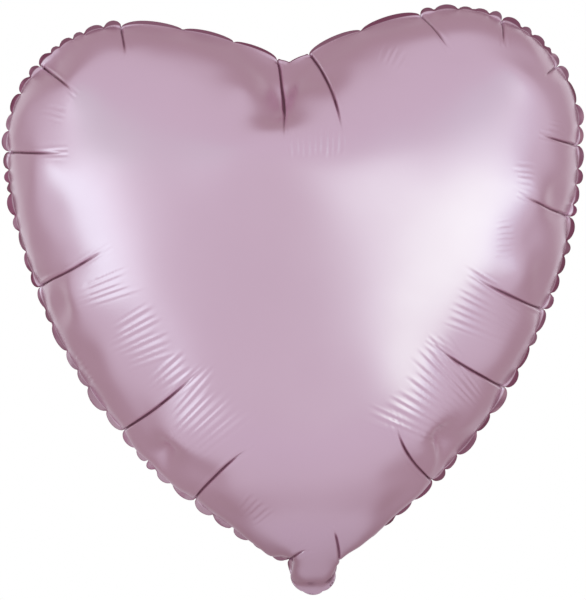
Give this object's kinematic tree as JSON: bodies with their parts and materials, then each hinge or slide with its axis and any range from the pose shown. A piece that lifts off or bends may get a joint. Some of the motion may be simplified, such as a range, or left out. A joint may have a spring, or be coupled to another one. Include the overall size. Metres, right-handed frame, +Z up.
{
  "type": "heart-shaped foil balloon",
  "caption": "Inflated heart-shaped foil balloon with a flat heat-sealed seam and a folded filling neck that unfolds to reach its self-sealing valve.",
  "frame": {"origin": "bottom of the folded neck below the heart's tip, on the seam plane, where a ribbon is tied", "axes": "+Z up through the cleft between the lobes, front towards -Y, +X to the right of someone facing the front"},
  "size_m": [0.36, 0.1958, 0.36],
  "materials": {
    "pink_film": "metallised nylon film with a satin pastel pink coat",
    "clear_film": "clear polyethylene film"
  },
  "bodies": {
    "balloon": {"front_panel": "pink_film", "rear_panel": "pink_film", "valve_front_film": "clear_film", "valve_rear_film": "clear_film"},
    "tail": {"tail_front_ply": "pink_film", "tail_rear_ply": "pink_film", "tail_valve_front_film": "clear_film", "tail_valve_rear_film": "clear_film"}
  },
  "joints": [
    {"name": "tail_fold", "type": "hinge", "parent": "balloon", "child": "tail", "pos_m": [0, 0.0032, 0.0026], "axis": [-1, 0, 0], "range_deg": [0, 144]}
  ]
}
